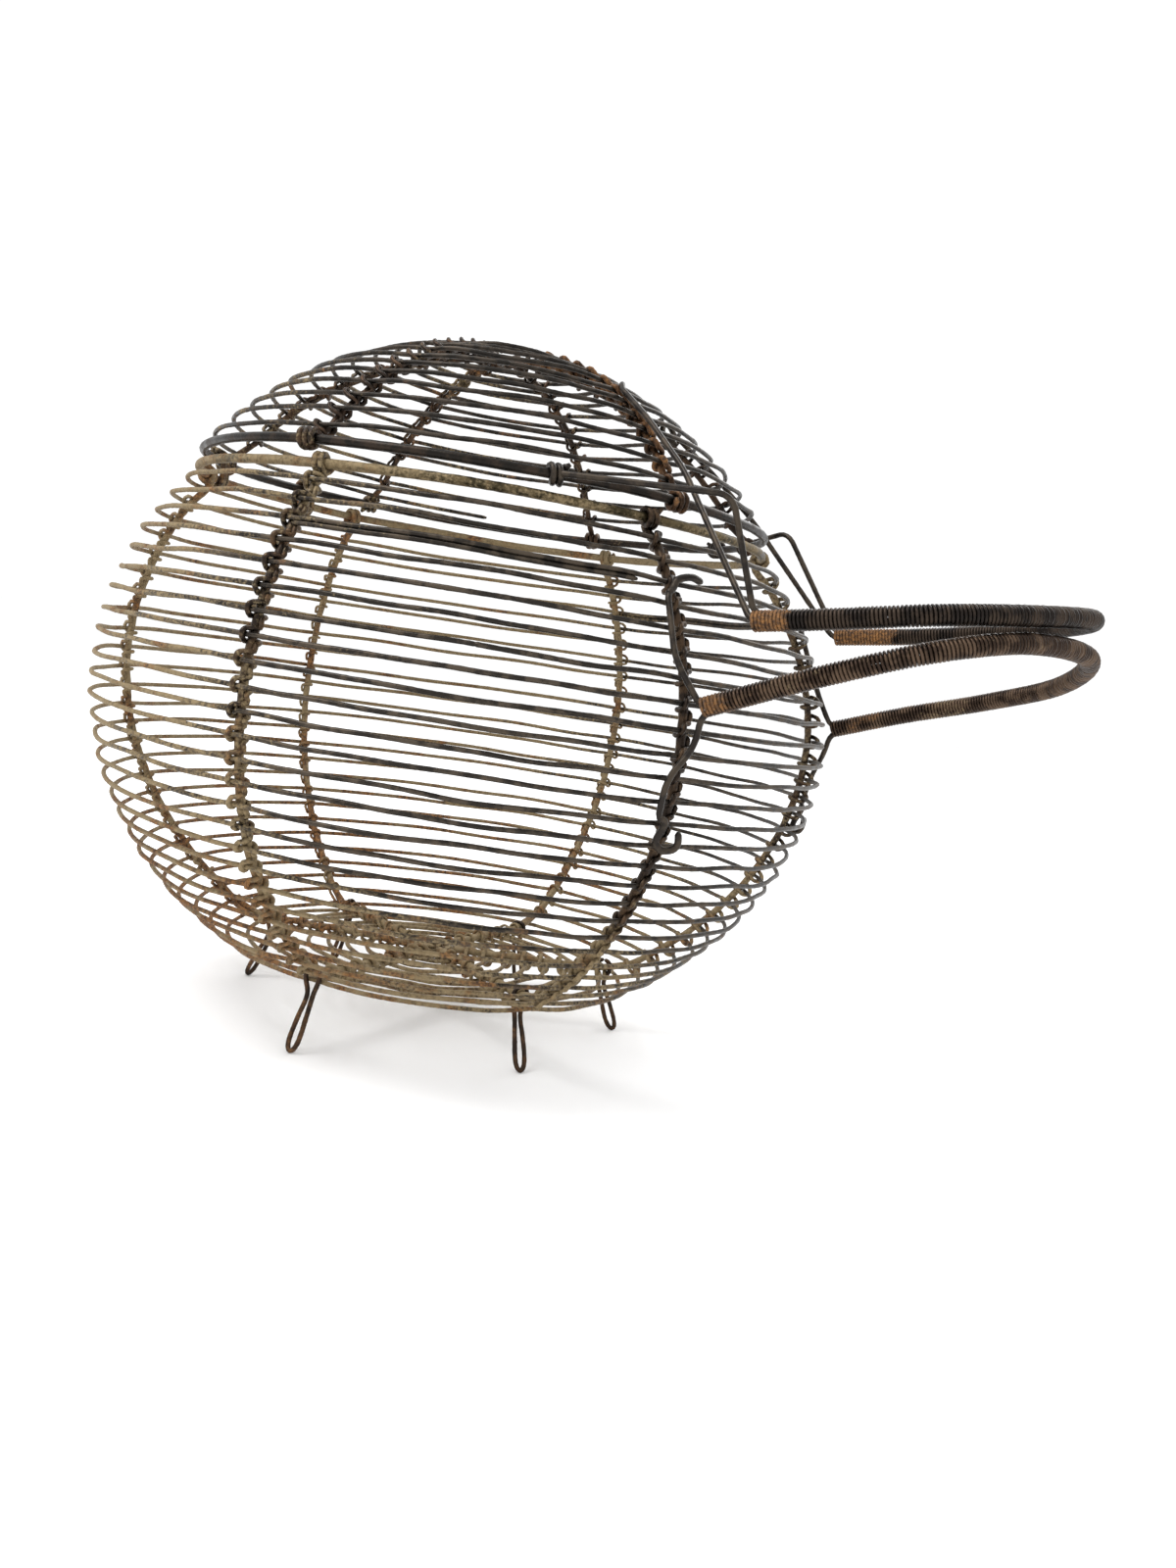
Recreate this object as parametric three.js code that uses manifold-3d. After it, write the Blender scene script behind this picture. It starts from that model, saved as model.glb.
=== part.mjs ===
// A wire salad basket: a bowl and a domed lid of spiral-wound wire on ribs, hinged at the back,
// with a wire-wound loop handle on each half so that one hand holds both shut.
// Millimetres, +Z up, handles along +X, hinge at -X, standing on six feet at z = 0.
import * as THREE from 'three';
import { mergeVertices } from 'three/addons/utils/BufferGeometryUtils.js';
import Module from 'manifold-3d';

const wasm = await Module();
wasm.setup();

// ---- Driving dimensions -------------------------------------------------------------------

const equatorRadius = 125; // the widest turn of the wall
const bowlCrown = 113; // rise of the bowl's upper ellipse above its widest turn
const bowlDrop = 107; // depth of its lower ellipse
const lidCrown = 123.5; // rise of the lid's ellipse above the same centre
const pinch = 3.5; // how much the hand-bent mouth is drawn in from the ellipse
const leanBack = 3.5; // how far the mouth and lid lean back from the handles
const equatorHeight = 110; // the widest turn above the ground
const rimLatitude = 36.4; // degrees up the ellipse where the two rims sit
const baseLatitude = 56; // degrees down the ellipse where the wall meets the base
const wallTurns = 26; // turns of wire from the rim to the base
const lidTurns = 14; // turns of wire from the lid's rim to its top
const baseTurns = 9; // turns of wire across the base
const baseEyeRadius = 8; // where the base spiral starts
const wireSize = 1.0; // half the diagonal of the wall wire
const rimSize = 1.55; // half the thickness of a rim
const ribSize = 1.3; // half the thickness of a rib
const handleWireSize = 1.0; // half the thickness of a handle's core wire
const windingSize = 0.45; // thickness of the winding's wall
const wireLead = 2; // how far a core wire runs straight out of its winding
const footWireSize = 0.95; // half the thickness of a foot's wire
const footWear = 0.4; // how much of the loop is worn flat
const footWidth = 4.4; // across a foot's loop, wire to wire centre at its widest
const footRadius = 69; // where the feet touch the ground
const footTopRadius = 62; // where they leave the ribs
const footShifts = [10, 0, 1, 0, 0, -1]; // how far each hand-bent foot stands out from that
const footTwists = [0, 0, 65, 0, 20, -25]; // degrees that each foot is turned about its legs
const wrapSize = 2.95; // outer half thickness of a rib's wrap round its rim
const wrapLength = 4.6;
const hingeAngles = [168, 203]; // of the two hinge eyes, which a hand didn't set quite square
const eyeThickness = 2.2;
const eyeWall = 0.95; // width of wire round an eye's holes
const eyeClearance = 0.8; // round a rim in its eye, where it turns askew
const gap = 0.35; // clearance between touching pieces
const bowlRibAngles = [-89.5, -31, 33.5, 88, 154, 196]; // at the base
const bowlRibLean = [0, 0.8, -9, 0, 0, 12]; // degrees further round at the rim
const lidRibAngles = [-92.7, -25, 38, 92.5, 149.5, 200];
const lidRibLean = [6, 8, -5, -3, 0, 0]; // degrees that each lid rib leans on its way up
const lidEndLatitude = 86.8;
const wallSegments = 24; // straight lengths in a turn
const startTurn = 0.75; // both spirals begin this far from their rim, in turns
const startAngle = -60; // where whole turns are counted from

// ---- Finishes -----------------------------------------------------------------------------

function steel(color, roughness, metalness) {
  return new THREE.MeshStandardMaterial({ color, roughness, metalness });
}
const darkWire = steel(0x3d362d, 0.62, 0.7);
const rimWire = steel(0x4a4334, 0.58, 0.7);
const rustyRib = steel(0x4a3524, 0.8, 0.5);
const gripWire = steel(0x4b3428, 0.66, 0.6);

const basket = new THREE.Group();

function addPart(name, geometry, material) {
  const mesh = new THREE.Mesh(geometry, material);
  mesh.name = name;
  basket.add(mesh);
  return mesh;
}

// ---- Geometry helpers ---------------------------------------------------------------------

const radians = THREE.MathUtils.degToRad;

// A path through given points, one straight length between each two, sampled at the points.
class PointPath extends THREE.Curve {
  constructor(points) {
    super();
    this.points = points;
  }

  getPoint(t, target = new THREE.Vector3()) {
    const along = THREE.MathUtils.clamp(t, 0, 1) * (this.points.length - 1);
    const index = Math.min(Math.floor(along), this.points.length - 2);
    return target.lerpVectors(this.points[index], this.points[index + 1], along - index);
  }

  getUtoTmapping(u) {
    return u;
  }
}

function polygon(size, sides) {
  const corners = [];
  for (let i = 0; i < sides; i += 1) {
    const angle = ((i + 0.5) / sides) * 2 * Math.PI;
    corners.push(new THREE.Vector2(size * Math.cos(angle), size * Math.sin(angle)));
  }
  return corners;
}

function wireAlong(points, size, sides, bore = 0) {
  const section = new THREE.Shape(polygon(size, sides));
  if (bore > 0) section.holes.push(new THREE.Path(polygon(bore, sides)));
  return new THREE.ExtrudeGeometry(section, {
    steps: points.length - 1,
    extrudePath: new PointPath(points),
    bevelEnabled: false,
  });
}

function toSolid(geometry) {
  const bare = geometry.clone();
  bare.deleteAttribute('normal');
  bare.deleteAttribute('uv');
  const merged = mergeVertices(bare, 1e-4);
  return new wasm.Manifold(new wasm.Mesh({
    numProp: 3,
    vertProperties: new Float32Array(merged.attributes.position.array),
    triVerts: new Uint32Array(merged.index.array),
  }));
}

function toGeometry(solid) {
  const mesh = solid.getMesh();
  const geometry = new THREE.BufferGeometry();
  geometry.setAttribute('position', new THREE.BufferAttribute(mesh.vertProperties, 3));
  geometry.setIndex(new THREE.BufferAttribute(mesh.triVerts, 1));
  return geometry.toNonIndexed();
}

function ringPoint(angle, radius, height, back = 0) {
  const a = radians(angle);
  return new THREE.Vector3(radius * Math.cos(a) - back, radius * Math.sin(a), height);
}

// A point on the shell at an angle round Z and a latitude, moved out along the surface normal.
// The ellipse is drawn in and moved back by the given amounts.
function shellPoint(angle, latitude, rise, drawnIn, back, out = 0) {
  const c = Math.cos(radians(latitude));
  const s = Math.sin(radians(latitude));
  const normal = new THREE.Vector2(c / equatorRadius, s / rise).normalize();
  const radius = equatorRadius * c - drawnIn + normal.x * out;
  const height = equatorHeight + rise * s + normal.y * out;
  return ringPoint(angle, radius, height, back);
}

// The bowl's mouth is drawn in and leans back more and more towards its rim.
function bowlPoint(angle, latitude, out) {
  const share = (Math.max(0, latitude) / rimLatitude) ** 1.5;
  return shellPoint(angle, latitude, latitude > 0 ? bowlCrown : bowlDrop, pinch * share, leanBack * share, out);
}

function lidPoint(angle, latitude, out) {
  const share = Math.cos(radians(latitude)) / Math.cos(radians(rimLatitude));
  return shellPoint(angle, latitude, lidCrown, pinch * share, leanBack, out);
}

function rimPoint(angle, radius, height) {
  return ringPoint(angle, radius, height, leanBack);
}

// ---- Rims ---------------------------------------------------------------------------------

const rimRadius = equatorRadius * Math.cos(radians(rimLatitude)) - pinch;
const bowlRimHeight = bowlPoint(0, rimLatitude).z;
const lidRimHeight = lidPoint(0, rimLatitude).z;

function rim(name, height) {
  const ring = new THREE.TorusGeometry(rimRadius, rimSize, 6, 48);
  addPart(name, ring.translate(-leanBack, 0, height), rimWire);
}
rim('bowl_rim', bowlRimHeight);
rim('lid_rim', lidRimHeight);

// ---- Spiral wire --------------------------------------------------------------------------

// One length of a spiral, between two turn counts; pointAt gives the place at a turn count.
function spiralWire(name, from, to, segments, pointAt) {
  const steps = Math.round((to - from) * segments);
  const points = [];
  for (let i = 0; i <= steps; i += 1) points.push(pointAt(from + ((to - from) * i) / steps));
  addPart(name, wireAlong(points, wireSize, 4), darkWire);
}

const spliceTurn = (2 * gap) / (2 * Math.PI * equatorRadius); // the butt gap, in turns
const wallLengths = [startTurn, 7, 13.25, 19.5, wallTurns];
const wallStep = (rimLatitude + baseLatitude) / wallTurns;
for (let i = 0; i < wallLengths.length - 1; i += 1) {
  spiralWire(`bowl_wire_${i + 1}`, wallLengths[i], wallLengths[i + 1] - 2 * spliceTurn, wallSegments,
    (turn) => bowlPoint(startAngle + 360 * turn, rimLatitude - wallStep * turn));
}

const baseRadius = equatorRadius * Math.cos(radians(baseLatitude));
const baseHeight = bowlPoint(0, -baseLatitude).z;
const basePitch = (baseRadius - baseEyeRadius) / baseTurns;
spiralWire('base_wire_outer', 0.5, 5, wallSegments * 0.75,
  (turn) => ringPoint(startAngle + 360 * turn, baseRadius - basePitch * turn, baseHeight));
spiralWire('base_wire_inner', 5.02, baseTurns, wallSegments * 0.5,
  (turn) => ringPoint(startAngle + 360 * turn, baseRadius - basePitch * turn, baseHeight));

const lidStep = (lidEndLatitude - rimLatitude) / lidTurns;
function lidSpiral(turn) {
  return lidPoint(startAngle + 360 * turn, rimLatitude + lidStep * turn);
}
spiralWire('lid_wire_lower', startTurn, 7 - 2 * spliceTurn, wallSegments, lidSpiral);
spiralWire('lid_wire_upper', 7, lidTurns, wallSegments * 0.75, lidSpiral);

// ---- Ribs ---------------------------------------------------------------------------------

const ribOut = wireSize + gap + ribSize; // a rib's centre outside the wall's centre
const wrapBore = rimSize + gap + 0.25;

// A rib with its wrap, a short sleeve round the rim that it holds.
function ribWithWrap(path, angle, rimHeight) {
  const rib = toSolid(wireAlong(path, ribSize, 5));
  const along = new THREE.CylinderGeometry(wrapSize, wrapSize, wrapLength, 10);
  const bore = new THREE.CylinderGeometry(wrapBore, wrapBore, wrapLength * 2, 10);
  const centre = rimPoint(angle, rimRadius, rimHeight);
  for (const cylinder of [along, bore]) {
    cylinder.rotateZ(radians(angle));
    cylinder.translate(centre.x, centre.y, centre.z);
  }
  return toGeometry(rib.add(toSolid(along)).subtract(toSolid(bore)));
}

const ribSteps = 9;
const ribInnerRadius = 14;
function bowlRibAngle(index, latitude) {
  const share = (latitude + baseLatitude) / (rimLatitude + baseLatitude);
  return bowlRibAngles[index] + bowlRibLean[index] * share;
}
bowlRibAngles.forEach((baseAngle, index) => {
  const path = [];
  for (let i = 0; i <= ribSteps; i += 1) {
    const latitude = rimLatitude - ((rimLatitude + baseLatitude) * i) / ribSteps;
    path.push(bowlPoint(bowlRibAngle(index, latitude), latitude, ribOut + (i / ribSteps) * gap));
  }
  path.push(ringPoint(baseAngle, ribInnerRadius, baseHeight - ribOut - gap));
  const rimAngle = bowlRibAngle(index, rimLatitude);
  addPart(`bowl_rib_${index + 1}`, ribWithWrap(path, rimAngle, bowlRimHeight), rustyRib);
});

const lidRibEnd = 82;
function lidRibAngle(index, latitude) {
  const share = (latitude - rimLatitude) / (lidRibEnd - rimLatitude);
  return lidRibAngles[index] + lidRibLean[index] * share;
}
const lidRibSteps = 7;
lidRibAngles.forEach((angle, index) => {
  const path = [];
  for (let i = 0; i <= lidRibSteps; i += 1) {
    const latitude = rimLatitude + ((lidRibEnd - rimLatitude) * i) / lidRibSteps;
    path.push(lidPoint(lidRibAngle(index, latitude), latitude, ribOut));
  }
  addPart(`lid_rib_${index + 1}`, ribWithWrap(path, angle, lidRimHeight), rustyRib);
});

// ---- Feet ---------------------------------------------------------------------------------

// A hairpin: two legs and a round bottom, worn flat where it stands.
const footTop = baseHeight - ribOut - ribSize - 2 * gap;
bowlRibAngles.forEach((angle, index) => {
  const lean = Math.atan2(footRadius - footTopRadius, footTop);
  const standOut = footTopRadius + footShifts[index];
  const length = (footTop - footWireSize) / Math.cos(lean) - footWireSize + footWear;
  const half = (footWidth - 2 * footWireSize) / 2;
  const outline = [[-footWireSize * 1.05, 0], [-half * 0.8, -length * 0.4], [-half, -length + half]];
  for (let i = 1; i <= 5; i += 1) {
    const turn = Math.PI * (1 + i / 6);
    outline.push([half * Math.cos(turn), -length + half + half * Math.sin(turn)]);
  }
  outline.push([half, -length + half], [half * 0.8, -length * 0.4], [footWireSize * 1.05, 0]);
  const path = outline.map(([side, up]) => new THREE.Vector3(0, side, up));
  const hairpin = wireAlong(path, footWireSize, 6);
  hairpin.rotateZ(radians(footTwists[index]));
  hairpin.rotateY(-lean);
  hairpin.translate(standOut, 0, footTop - footWireSize);
  hairpin.rotateZ(radians(angle));
  const ground = new THREE.BoxGeometry(400, 400, 20).translate(0, 0, -10);
  addPart(`foot_${index + 1}`, toGeometry(toSolid(hairpin).subtract(toSolid(ground))), rustyRib);
});

// ---- Hinge --------------------------------------------------------------------------------

// Each eye is a loop round both rims at the back: the lid's rim turns in it.
hingeAngles.forEach((angle, index) => {
  const eyeBore = rimSize + eyeClearance;
  const eyeSize = eyeBore + eyeWall;
  const reach = lidRimHeight - bowlRimHeight;
  const outline = new THREE.Shape();
  outline.absarc(0, 0, eyeSize, Math.PI, 2 * Math.PI, false);
  outline.absarc(0, reach, eyeSize, 0, Math.PI, false);
  for (const height of [0, reach]) {
    const bore = new THREE.Path();
    bore.absarc(0, height, eyeBore, 0, 2 * Math.PI, true);
    outline.holes.push(bore);
  }
  const eye = new THREE.ExtrudeGeometry(outline, {
    depth: eyeThickness, steps: 1, bevelEnabled: false, curveSegments: 6,
  });
  eye.translate(0, 0, -eyeThickness / 2);
  eye.rotateX(Math.PI / 2);
  eye.rotateZ(radians(angle));
  const centre = rimPoint(angle, rimRadius, bowlRimHeight);
  addPart(index === 0 ? 'hinge_eye_left' : 'hinge_eye_right',
    eye.translate(centre.x, centre.y, centre.z), rimWire);
});

// ---- Handles ------------------------------------------------------------------------------

// A place by the handles, from the front of the widest turn: outwards, across and up.
function handlePoint(x, y, z) {
  return new THREE.Vector3(equatorRadius + x, y, equatorHeight + z);
}

// A loop grip: points down one arm, round the end and back, with a wire above and one below
// the centre line. Each wire runs on from both arm ends as a strut.
function loopGrip(corners, steps) {
  const curve = new THREE.CatmullRomCurve3(corners.map((p) => handlePoint(...p)), false, 'centripetal');
  return curve.getSpacedPoints(steps);
}

// The point at which a wire leaves its winding, a short way past the arm's end.
function leadOut(end, before, lead) {
  return end.clone().add(end.clone().sub(before).setLength(lead));
}

function coreWire(centreLine, lift, nearStrut, farStrut, lead = wireLead) {
  const whole = [
    leadOut(centreLine[0], centreLine[1], lead),
    ...centreLine,
    leadOut(centreLine.at(-1), centreLine.at(-2), lead),
  ];
  const run = whole.map((p) => p.clone().add(new THREE.Vector3(0, 0, lift)));
  return wireAlong([...nearStrut, ...run, ...farStrut.slice().reverse()], handleWireSize, 6);
}

const coreLift = handleWireSize + gap / 2;
const gripSides = 8;
const gripBore = (coreLift + handleWireSize + gap) / Math.cos(Math.PI / gripSides);
const gripSize = gripBore + windingSize;
const gripSteps = 22;

// Bowl handle: both struts of an arm lie on the wall beside its rib, one up and one down.
const bowlGrip = loopGrip([
  [-13.4, -66.3, 15.2], [18.8, -64.4, 28.8], [47, -59.4, 39.5], [66.2, -40, 45.4],
  [77.5, 0, 45.4], [66.2, 40, 38.1], [41.2, 60, 30], [15, 64.4, 21.9], [-10.8, 64, 12.5],
], gripSteps);
function wallStrut(rib, side, latitudes, outs, angles) {
  return latitudes.map((latitude, i) => (
    bowlPoint(bowlRibAngle(rib, latitude) + side * angles[i], latitude, outs[i])
  ));
}
const strutOuts = [ribOut, ribOut, ribOut + 0.4, 4.6];
const strutAngles = [1.7, 3, 3.2, 0.2];
const upLatitudes = [23.9, 22.7, 13.5, 8];
const downLatitudes = [-9.4, -8.6, -3, 2.2];
const bowlStruts = [[1, -1], [2, 1]].map(([rib, side]) => ({
  up: wallStrut(rib, side, upLatitudes, strutOuts, strutAngles),
  down: wallStrut(rib, side, downLatitudes, strutOuts, strutAngles),
}));
addPart('bowl_handle_wire_upper', coreWire(bowlGrip, coreLift, bowlStruts[0].up, bowlStruts[1].up), gripWire);
addPart('bowl_handle_wire_lower', coreWire(bowlGrip, -coreLift, bowlStruts[0].down, bowlStruts[1].down),
  gripWire);
addPart('bowl_handle_winding', wireAlong(bowlGrip, gripSize, gripSides, gripBore), gripWire);

// Lid handle: one strut of an arm goes level to the rim, the other over the dome to a rib.
const lidGrip = loopGrip([
  [-3.8, -63.8, 40.5], [18.8, -64.4, 43.8], [43.8, -60.6, 48.2], [65, -41.2, 52.5],
  [76.5, 0, 56.9], [65, 41.2, 57], [41.2, 60.6, 54], [12.5, 64.4, 49.4], [-15, 63.8, 45.6],
], gripSteps);
const rimStrutEnd = rimRadius + rimSize + gap + handleWireSize;
function levelStrut(side, angle, bend) {
  return [rimPoint(side * angle, rimStrutEnd, lidRimHeight), handlePoint(bend[0], side * bend[1], bend[2])];
}
function domeStrut(rib, side, kneeOut) {
  const aside = [-3.4, -3.2, -1.5];
  const latitudes = [59, 50, 39];
  const outs = [ribOut, ribOut + 1.4, kneeOut];
  return latitudes.map((latitude, i) => (
    lidPoint(lidRibAngle(rib, latitude) - side * aside[i], latitude, outs[i])
  ));
}
addPart('lid_handle_wire_rim', coreWire(lidGrip, coreLift,
  levelStrut(-1, 49, [-15.4, 63.8, 73.8]), levelStrut(1, 53, [-38.8, 63.8, 81.2])), gripWire);
addPart('lid_handle_wire_dome', coreWire(lidGrip, -coreLift,
  domeStrut(1, -1, 7.5), domeStrut(2, 1, 7.5), 2.25 * wireLead), gripWire);
addPart('lid_handle_winding', wireAlong(lidGrip, gripSize, gripSides, gripBore), gripWire);

// The tail of each bowl handle wire runs on along a turn of the wall as a brace.
const braceTurn = 3;
const braceSpan = 52; // degrees
const braceDrop = 2 * wireSize + gap; // below the turn that it stiffens
function brace(name, fromAngle, direction) {
  const points = [];
  for (let i = 0; i <= 8; i += 1) {
    const angle = fromAngle + (direction * braceSpan * i) / 8;
    const turn = braceTurn + (((angle - startAngle) / 360) % 1);
    const latitude = rimLatitude - wallStep * turn;
    points.push(bowlPoint(angle, latitude - (braceDrop / bowlCrown) * (180 / Math.PI), 0));
  }
  addPart(name, wireAlong(points, wireSize, 4), darkWire);
}
brace('bowl_brace_near', -37, -1);
brace('bowl_brace_far', 38, 1);

// The origin is on the ground under the middle of the whole basket, handles and all.
const middleOfAll = new THREE.Box3().setFromObject(basket, true).getCenter(new THREE.Vector3());
basket.position.set(-middleOfAll.x, -middleOfAll.y, 0);
basket.updateMatrixWorld(true);

export default basket;
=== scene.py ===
# %% [markdown]
# # A wire salad basket
# The real thing is a bowl and a domed lid of springy steel wire. Each half is one long spiral of thin
# wire, lashed at every turn to upright rods. A thick ring stiffens each rim, a wound loop of wire makes
# each handle, and six hairpins make the feet. Everything here is wire, so one way of making a wire, used
# with care, makes the whole basket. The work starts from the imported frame, which says where all of it is.

# %% Load the frame
from math import ceil, cos, pi, radians, sin
from random import Random

import bmesh
import bpy
from mathutils import Matrix, Vector, noise
from mathutils.geometry import interpolate_bezier


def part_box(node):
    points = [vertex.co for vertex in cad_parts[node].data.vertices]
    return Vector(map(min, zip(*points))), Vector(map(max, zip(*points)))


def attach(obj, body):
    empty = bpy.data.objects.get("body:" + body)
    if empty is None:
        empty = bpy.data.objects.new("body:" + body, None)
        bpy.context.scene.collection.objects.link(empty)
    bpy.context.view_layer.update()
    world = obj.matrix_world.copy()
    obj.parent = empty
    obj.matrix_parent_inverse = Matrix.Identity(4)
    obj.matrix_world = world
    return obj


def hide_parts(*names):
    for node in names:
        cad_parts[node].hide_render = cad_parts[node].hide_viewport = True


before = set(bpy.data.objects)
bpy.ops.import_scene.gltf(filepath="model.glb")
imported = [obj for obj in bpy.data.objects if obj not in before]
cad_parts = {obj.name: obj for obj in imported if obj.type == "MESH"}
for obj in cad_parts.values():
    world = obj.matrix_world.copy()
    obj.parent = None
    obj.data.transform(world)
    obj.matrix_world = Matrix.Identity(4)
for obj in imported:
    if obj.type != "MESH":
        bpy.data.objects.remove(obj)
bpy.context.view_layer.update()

MM = 0.001

# %% [markdown]
# ## Where things are
# The two rims and the widest turn of the wall give the shape of the whole shell, so they are measured on
# the frame. A few values that a box can't tell, such as how many turns there are, are written here.

# %% Measure the shell
RIM_THICK = 2.9 * MM
CAD_RIM_THICK = 3.1 * MM
WIRE_THICK = 1.5 * MM
CAD_WIRE_HALF = 0.7 * MM
RIM_LATITUDE = 36.4
BASE_LATITUDE = 56.0
LID_END_LATITUDE = 86.8

rim_low, rim_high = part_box("bowl_rim")
lid_rim_low, lid_rim_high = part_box("lid_rim")
wall_low, wall_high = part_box("bowl_wire_2")
base_low, base_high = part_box("base_wire_outer")
axis_x = (wall_low.x + wall_high.x) / 2
axis_y = (wall_low.y + wall_high.y) / 2
equator_radius = (wall_high.y - wall_low.y) / 2 - CAD_WIRE_HALF
rim_radius = (rim_high.x - rim_low.x) / 2 - CAD_RIM_THICK / 2
rim_height = (rim_low.z + rim_high.z) / 2
lid_rim_height = (lid_rim_low.z + lid_rim_high.z) / 2
base_height = (base_low.z + base_high.z) / 2
lid_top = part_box("lid_wire_upper")[1].z - CAD_WIRE_HALF
lean_back = axis_x - (rim_low.x + rim_high.x) / 2
pinch = equator_radius * cos(radians(RIM_LATITUDE)) - rim_radius

rim_share = sin(radians(RIM_LATITUDE))
lid_crown = (lid_top - lid_rim_height) / (sin(radians(LID_END_LATITUDE)) - rim_share)
equator_height = lid_rim_height - lid_crown * rim_share
bowl_crown = (rim_height - equator_height) / rim_share
bowl_drop = (equator_height - base_height) / sin(radians(BASE_LATITUDE))
print("equator radius and height:", round(equator_radius / MM, 1), round(equator_height / MM, 1))
print("crowns and drop:", [round(v / MM, 1) for v in (bowl_crown, lid_crown, bowl_drop)])

# %% [markdown]
# A place on the shell is an angle round the basket and a latitude up or down it, as on a globe. The mouth
# is drawn in by hand and leans back from the handles, more and more towards the rim.

# %% Places on the shell
UP = Vector((0, 0, 1))


def around(angle, radius, height, back=0.0):
    """The point at an angle in degrees round the basket's axis."""
    turn = radians(angle)
    return Vector((axis_x - back + radius * cos(turn), axis_y + radius * sin(turn), height))


def shell_point(angle, latitude, rise, drawn_in, back, out):
    """A point on an ellipse of revolution, moved out along its normal."""
    level = cos(radians(latitude))
    lift = sin(radians(latitude))
    normal = Vector((level / equator_radius, lift / rise)).normalized()
    radius = equator_radius * level - drawn_in + normal.x * out
    return around(angle, radius, equator_height + rise * lift + normal.y * out, back)


def bowl_point(angle, latitude, out=0.0):
    share = (max(0.0, latitude) / RIM_LATITUDE) ** 1.5
    rise = bowl_crown if latitude > 0 else bowl_drop
    return shell_point(angle, latitude, rise, pinch * share, lean_back * share, out)


def lid_point(angle, latitude, out=0.0):
    share = cos(radians(latitude)) / cos(radians(RIM_LATITUDE))
    return shell_point(angle, latitude, lid_crown, pinch * share, lean_back, out)


def base_point(angle, radius, out=0.0):
    """A point on the flat base; out is down, away from the inside."""
    return around(angle, radius, base_height - out)


# %% [markdown]
# ## Finishes
# All the wire is the same old steel, but it has aged unevenly: bare and dark where hands rubbed it, dusty
# khaki where the bloom stayed, orange where it still rusts. One node group makes that skin from a few
# noises on Object coordinates, and each material asks it for more or less of each. The group gives out
# only a colour, a roughness, a metallic value and a height; the shader stays in the material.

# %% Node helpers
def new_group(name, inputs, outputs):
    """A shader node group with its sockets and its two end nodes."""
    group = bpy.data.node_groups.new(name, "ShaderNodeTree")
    for label, kind, value in inputs:
        socket = group.interface.new_socket(name=label, in_out="INPUT", socket_type=kind)
        socket.default_value = value
    for label, kind in outputs:
        group.interface.new_socket(name=label, in_out="OUTPUT", socket_type=kind)
    return group, group.nodes.new("NodeGroupInput"), group.nodes.new("NodeGroupOutput")


def add_node(tree, kind, settings=None, **values):
    """A node with its settings, its plain inputs set and its linked inputs joined."""
    node = tree.nodes.new("ShaderNode" + kind)
    for label, value in (settings or {}).items():
        setattr(node, label, value)
    for label, value in values.items():
        key = int(label[1:]) if label[0] == "_" else label.replace("_", " ")
        if isinstance(value, bpy.types.NodeSocket):
            tree.links.new(value, node.inputs[key])
        else:
            node.inputs[key].default_value = value
    return node


def math_node(tree, operation, first, second=0.0, clamp=False):
    settings = {"operation": operation, "use_clamp": clamp}
    return add_node(tree, "Math", settings, _0=first, _1=second).outputs[0]


def blend_colors(tree, share, first, second):
    """A mix of two colours. A Mix node's colour sockets are its inputs 6 and 7 and its output 2."""
    node = add_node(tree, "Mix", {"data_type": "RGBA"}, _0=share, _6=first, _7=second)
    return node.outputs[2]


def noise_node(tree, place, scale, detail=3.0, rough=0.55):
    node = add_node(tree, "TexNoise", Vector=place, Scale=scale, Detail=detail, Roughness=rough)
    return node.outputs[0]


def step_up(tree, value, low, high):
    """0 below low, 1 above high, and smooth between."""
    settings = {"interpolation_type": "SMOOTHSTEP"}
    node = add_node(tree, "MapRange", settings, Value=value, From_Min=low, From_Max=high)
    return node.outputs[0]


def tint(code):
    """A linear colour from a six-digit screen colour."""
    levels = [int(code[i:i + 2], 16) / 255 for i in (0, 2, 4)]
    return (*[v / 12.92 if v <= 0.04045 else ((v + 0.055) / 1.055) ** 2.4 for v in levels], 1.0)


# %% The aged steel group
COLOR = "NodeSocketColor"
FLOAT = "NodeSocketFloat"


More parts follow.
